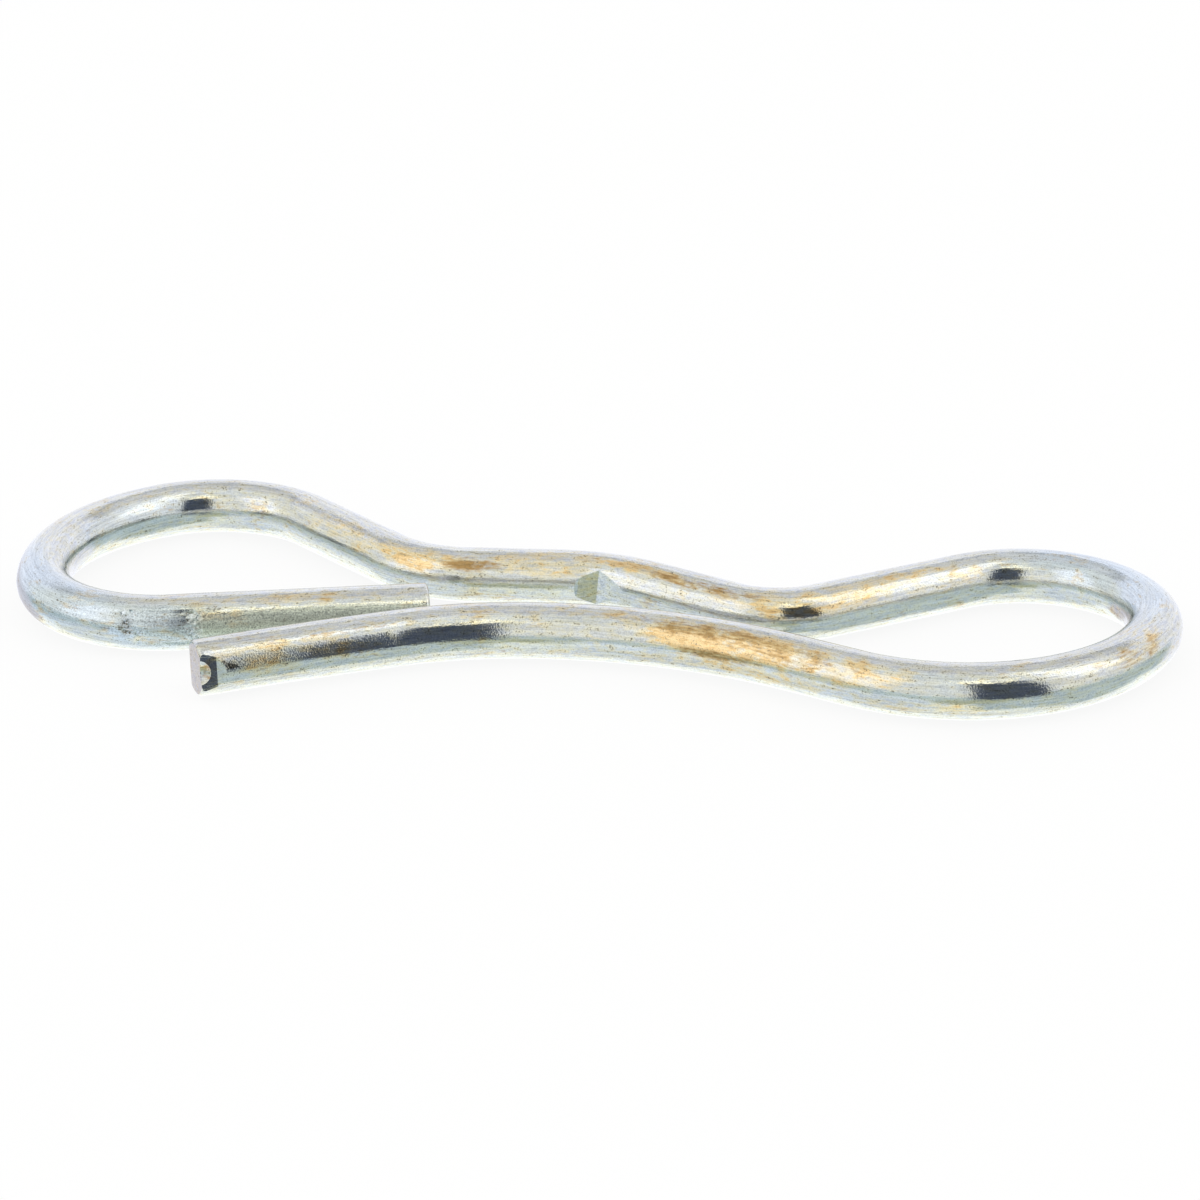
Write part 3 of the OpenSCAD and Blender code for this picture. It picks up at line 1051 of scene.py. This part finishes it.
@dataclass
class Cotter:
    """The whole cotter, one bent wire, with sizes in mm and degrees.

    Attributes:
        ring_gap: Usual distance between the mesh's rings.
        die_rings: How far before and past the die's mark they lie closer, and how close.
        end_rings: How far back from the tip's end they lie closer, and how close.
        crease_angle: Angle between two faces from which their edge shows sharp.
        tip_bow: How far the middle of the tip bows toward the leg.
    """

    path: WirePath = field(default_factory=WirePath)
    finish: ZincPlate = ZincPlate()
    sweep: WireSweep = field(default_factory=WireSweep)
    dent: PunchDent = PunchDent()
    front_jaw: JawMark = JawMark("front_jaw", 0.65, 0.0)
    back_jaw: JawMark = JawMark("back_jaw", 1.1, 180.0)
    die: DieMark = DieMark()
    blooms: tuple[Bloom, ...] = BLOOMS
    ring_gap: float = 0.40
    die_rings: Triple = (1.5, 0.5, 0.1)
    end_rings: Pair = (3.5, 0.2)
    crease_angle: float = 12.0
    tip_bow: float = 0.15

    def build(self) -> Object:
        """Makes the piece, cuts its marks and gives it its finish.

        Returns:
            The piece.
        """
        plate = self.finish.build()
        before, past, die_gap = self.die_rings
        back, end_gap = self.end_rings
        fine = ((self.die.start - before, self.die.apex + past, die_gap),
                (self.path.length - back, self.path.length, end_gap))
        mesh = self.sweep.sweep(self.path, self.path.stations(self.ring_gap, fine), plate)
        mesh.name = PIECE
        self._form(mesh)
        wire = placed(PIECE, mesh)
        self._cut(wire, [self.dent.cutter(self.path), self.front_jaw.cutter(self.path),
                         self.back_jaw.cutter(self.path), EdgeNick(self.front_jaw).cutter(self.path)])
        self._mark_places(wire.data)
        wire.data.polygons.foreach_set("use_smooth", np.ones(len(wire.data.polygons), bool))
        wire.data.set_sharp_from_angle(angle=math.radians(self.crease_angle))
        return wire

    def _form(self, mesh: Mesh) -> None:
        """Presses the die's mark into the left loop, and bows the tip by a hair, as bending leaves it.

        Args:
            mesh: Mesh of the wire, which is changed.
        """
        places, drawn, aside = self._unbend(mesh)
        depth = self.die.depth_at(drawn[:, 0], self._angle(drawn))
        outward = np.column_stack([aside * drawn[:, 1:2], drawn[:, 2]])
        outward /= np.maximum(np.linalg.norm(outward, axis=1, keepdims=True), TINY)
        along_tip = 1.0 - (self.path.length - drawn[:, 0]) / self.path.tip_len
        bow = self.tip_bow * 4.0 * along_tip * (1.0 - along_tip) * (along_tip > 0.0) * (along_tip < 1.0)
        places = places - depth[:, None] * outward
        places[:, :2] -= bow[:, None] * aside
        mesh.vertices.foreach_set("co", (places * MM).astype(np.float32).ravel())
        mesh.update()

    def _cut(self, wire: Object, cutters: Sequence[Mesh]) -> None:
        """Takes each cutter's solid out of the wire.

        Args:
            wire: The wire, which is changed.
            cutters: Meshes of the solids, which are used up.
        """
        tools = []
        for mesh in cutters:
            tool = placed(mesh.name, mesh)
            modifier = wire.modifiers.new(mesh.name, "BOOLEAN")
            modifier.operation, modifier.solver, modifier.object = "DIFFERENCE", "EXACT", tool
            tools.append(tool)
        graph = bpy.context.evaluated_depsgraph_get()
        cut = bpy.data.meshes.new_from_object(wire.evaluated_get(graph), depsgraph=graph)
        wire.modifiers.clear()
        old, wire.data = wire.data, cut
        bpy.data.meshes.remove(old)
        cut.name = wire.name
        for tool, mesh in zip(tools, cutters):
            bpy.data.objects.remove(tool)
            bpy.data.meshes.remove(mesh)

    def _unbend(self, mesh: Mesh) -> tuple[np.ndarray, np.ndarray, np.ndarray]:
        """Works out where each point lies on the wire as it was drawn straight.

        Args:
            mesh: Mesh of the wire.

        Returns:
            Each point's place, its distance along the wire, to the left and above the axis, and
            the direction in plan to the wire's left there, with all lengths in mm.
        """
        co = np.zeros(len(mesh.vertices) * 3, np.float32)
        mesh.vertices.foreach_get("co", co)
        co = co.reshape(-1, 3).astype(float) / MM
        along = np.linspace(0.0, self.path.length, MESH_PLACES)
        places, headings = self.path.walk(along)
        tree = KDTree(len(along))
        for i, p in enumerate(places):
            tree.insert((p[0], p[1], 0.0), i)
        tree.balance()
        near = np.array([tree.find((x, y, 0.0))[1] for x, y in co[:, :2]])
        off = co[:, :2] - places[near]
        ahead = np.stack([np.cos(headings[near]), np.sin(headings[near])], 1)
        aside = np.stack([-ahead[:, 1], ahead[:, 0]], 1)
        drawn = np.column_stack([along[near] + (off * ahead).sum(1), (off * aside).sum(1),
                                 co[:, 2] - self.path.wire_r])
        return co, drawn, aside

    @staticmethod
    def _angle(drawn: np.ndarray) -> np.ndarray:
        """Gives the angle round the wire of each place on it, in degrees."""
        return np.degrees(np.arctan2(drawn[:, 2], drawn[:, 1]))

    def _mark_places(self, mesh: Mesh) -> None:
        """Stores on each point its place on the drawn wire, and how strong each stain and the painted shade
        are there.

        Args:
            mesh: Mesh of the wire, which is changed.
        """
        _, drawn, _ = self._unbend(mesh)
        attribute = mesh.attributes.new(DRAWN, "FLOAT_VECTOR", "POINT")
        attribute.data.foreach_set("vector", (drawn * MM).astype(np.float32).ravel())
        for stain_or_shade in StainOrShade:
            marks = [b.at(drawn[:, 0], self._angle(drawn)) for b in self.blooms if b.stain_or_shade is stain_or_shade]
            attribute = mesh.attributes.new(stain_or_shade.value, "FLOAT", "POINT")
            attribute.data.foreach_set("value", np.max(marks, axis=0).astype(np.float32))


@dataclass(frozen=True)
class Zone:
    """Soft-edged part of the studio's surroundings, in degrees, with azimuths from the camera's.

    Attributes:
        azimuths: Its left and right edges.
        elevations: Its lower and upper edges.
        level: How bright it is, where a white card in plain light is 1.
        soft: Width of its left and right edges, and of its lower and upper edges.
        both_sides: Whether its azimuths count to both sides of the camera.
    """

    azimuths: Pair
    elevations: Pair
    tone: str
    level: float
    soft: tuple[float, float, float, float]
    both_sides: bool = False


@dataclass
class Studio:
    """Light tent of white cloth over a pale floor, and the camera, in mm and degrees.

    Attributes:
        azimuth: Azimuth of the camera, from the front toward the right.
        floor_white: Share of plain white that the camera sees on the floor.
        most: How bright the brightest zone is, where a white card in plain light is 1.
        cloth: Colour of the tent where no zone lies.
        zones: Parts of the surroundings, each over those before it.
    """

    azimuth: float = 13.65
    elevation: float = 22.0
    target: Triple = (0.79, 3.62, 2.25)
    distance: float = 402.2
    lens: float = 150.0
    sensor: float = 36.0
    clip: Pair = (10.0, 100000.0)
    floor_half: float = 3000.0
    floor_tone: str = "#FAFAFA"
    floor_white: float = 0.88
    most: float = 2.4
    cloth: str = "#FDFFFA"
    zones: tuple[Zone, ...] = (
        # Cloth overhead and behind, with the seam where the two meet
        Zone((-200, 200), (72, 100), "#FCFEFA", 1.02, (1, 1, 8, 8)),
        Zone((120, 200), (43, 100), "#FFFFFF", 0.86, (14, 14, 3, 3), True),
        Zone((112, 200), (-35, 41), "#F6F7FF", 1.22, (14, 14, 6, 2), True),
        Zone((105, 200), (40.5, 44), "#E4E8EA", 0.60, (14, 14, 2.5, 2.5), True),
        # Lamps behind the cloth on both sides, and the front of the tent
        Zone((-125, 0), (2, 60), "#FFFFF8", 1.06, (24, 14, 16, 16)),
        Zone((-82, -38), (8, 58), "#FFFFFF", 1.40, (14, 14, 14, 12)),
        Zone((50, 125), (8, 60), "#FFFFFF", 1.08, (16, 16, 14, 12)),
        Zone((64, 99), (28, 76), "#FFFEFA", 1.65, (10, 6, 12, 12)),
        # Pale table: shaded in front of the cotter, bright under and behind it, dimmer to its left rear
        Zone((-125, 125), (-100, -2), "#EFFFFF", 0.76, (14, 14, 2, 4)),
        Zone((-130, -14), (-100, -17), "#F0F9FF", 1.10, (14, 12, 2, 6)),
        Zone((-20, 8), (-100, -30), "#F9FFF8", 1.15, (12, 8, 2, 5)),
        Zone((-14, 22), (-30, -14), "#F0F8DC", 0.68, (8, 8, 4, 4)),
        Zone((4, 125), (-100, -58), "#FBFFF8", 1.20, (8, 14, 2, 5)),
        Zone((-200, 200), (-100, -74), "#FCFFFC", 1.14, (14, 14, 2, 24)),
        Zone((110, 200), (-100, -30), "#FCFFFC", 1.45, (14, 14, 2, 12), True),
        Zone((-160, -120), (-36, -8), "#F4F0F6", 0.95, (8, 8, 6, 6)),
        # Dark opening beside the camera, with the lit cloth over it
        Zone((-4, 40), (53, 60), "#FFF8DC", 1.8, (10, 3, 3, 4)),
        Zone((10, 18), (57, 68), "#FFFBE4", 2.4, (4, 4, 2, 2)),
        Zone((4.5, 43), (-13, 53), "#8894A8", 0.36, (3, 2, 4, 3)),
    )

    def toward(self, azimuth: float, elevation: float) -> Vector:
        """Gives the direction to a place in the studio, with azimuths counted from the camera's."""
        a, e = math.radians(self.azimuth + azimuth), math.radians(elevation)
        return Vector((math.sin(a) * math.cos(e), -math.cos(a) * math.cos(e), math.sin(e)))

    def camera(self) -> None:
        """Makes the camera."""
        data = bpy.data.cameras.new("camera")
        data.lens, data.sensor_width = self.lens, self.sensor
        data.clip_start, data.clip_end = (distance * MM for distance in self.clip)
        eye = placed("camera", data)
        back = self.toward(0.0, self.elevation)
        eye.location = MM * (Vector(self.target) + self.distance * back)
        eye.rotation_mode = "QUATERNION"
        eye.rotation_quaternion = (-back).to_track_quat("-Z", "Y")
        bpy.context.scene.camera = eye

    def floor(self) -> None:
        """Makes the pale floor, which shows white but keeps the cotter's shadow.

        The cotter mirrors the table as the studio's zones paint it, so its rays pass the floor.
        """
        mesh = bpy.data.meshes.new("floor")
        h = self.floor_half * MM
        mesh.from_pydata([(-h, -h, 0), (h, -h, 0), (h, h, 0), (-h, h, 0)], [], [(0, 1, 2, 3)])
        floor = placed("floor", mesh)
        material = bpy.data.materials.new("pale_floor")
        tree = cleared(material)
        seen = node(tree, "ShaderNodeLightPath").outputs["Is Camera Ray"]
        matt = node(tree, "ShaderNodeBsdfDiffuse", {"Color": linear(self.floor_tone)})
        white = node(tree, "ShaderNodeEmission", {"Color": linear(WHITE), "Strength": 1.0})
        share = calc(tree, "MULTIPLY", seen, self.floor_white)
        node(tree, "ShaderNodeOutputMaterial", {"Surface": shaded(tree, share, matt, white)})
        mesh.materials.append(material)
        floor.visible_glossy = False

    def world(self) -> None:
        """Makes the studio's surroundings, which light the cotter and show white behind it."""
        world = bpy.data.worlds.new("light_tent")
        bpy.context.scene.world = world
        tree = cleared(world)
        tent = node(tree, "ShaderNodeBackground", {"Color": self._surroundings(tree), "Strength": self.most})
        white = node(tree, "ShaderNodeBackground", {"Color": linear(WHITE), "Strength": 1.0})
        seen = node(tree, "ShaderNodeLightPath").outputs["Is Camera Ray"]
        node(tree, "ShaderNodeOutputWorld", {"Surface": shaded(tree, seen, tent, white)})

    def _surroundings(self, tree: Tree) -> Socket:
        """Adds the colour of the surroundings, as a share of the brightest zone's.

        Args:
            tree: The world's node tree.

        Returns:
            The colour.
        """
        way = node(tree, "ShaderNodeTexCoord").outputs["Generated"]
        faced = node(tree, "ShaderNodeVectorRotate", {"Vector": way, "Angle": -math.radians(self.azimuth)},
                     rotation_type="Z_AXIS").outputs[0]
        parts = node(tree, "ShaderNodeSeparateXYZ", {0: faced}).outputs
        ahead = calc(tree, "MULTIPLY", parts["Y"], -1.0)
        azimuth = calc(tree, "DEGREES", calc(tree, "ARCTAN2", parts["X"], ahead))
        elevation = calc(tree, "DEGREES", calc(tree, "ARCSINE", parts["Z"]))
        aside = calc(tree, "ABSOLUTE", azimuth)
        colour: Any = self._tone(self.cloth, 1.0)
        for zone in self.zones:
            across = self._between(tree, aside if zone.both_sides else azimuth, zone.azimuths, zone.soft[:2])
            upright = self._between(tree, elevation, zone.elevations, zone.soft[2:])
            inside = calc(tree, "MULTIPLY", across, upright)
            colour = over(tree, colour, inside, self._tone(zone.tone, zone.level))
        return colour

    def _tone(self, code: str, level: float) -> tuple[float, float, float, float]:
        """Gives a zone's colour as a share of the studio's brightest."""
        return (*(c * level / self.most for c in linear(code)[:3]), 1.0)

    @staticmethod
    def _between(tree: Tree, value: Socket, edges: Sequence[float], soft: Sequence[float]) -> Socket:
        """Adds a mask that is 1 between two edges and fades over the width of each.

        Args:
            tree: The world's node tree.
            value: Azimuth or elevation, in degrees.
            edges: The two edges.
            soft: Width of each edge.

        Returns:
            The mask.
        """
        ends = ((edge - way * width / 2, edge + way * width / 2)
                for edge, width, way in zip(edges, soft, (1, -1)))
        rise, fall = (remap(tree, value, end, interpolation_type="SMOOTHSTEP") for end in ends)
        return calc(tree, "MULTIPLY", rise, fall)


def main() -> None:
    """Builds the cotter and its studio."""
    logging.basicConfig(level=logging.INFO)
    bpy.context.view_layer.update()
    studio = Studio()
    studio.camera()
    wire = Cotter().build()
    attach(wire, "root")
    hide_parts(WIRE)
    LOG.info("%s: %d points, %d faces", wire.name, len(wire.data.vertices), len(wire.data.polygons))
    studio.world()
    studio.floor()
    bpy.context.scene.view_settings.view_transform = "Standard"


if __name__ == "__main__":
    main()
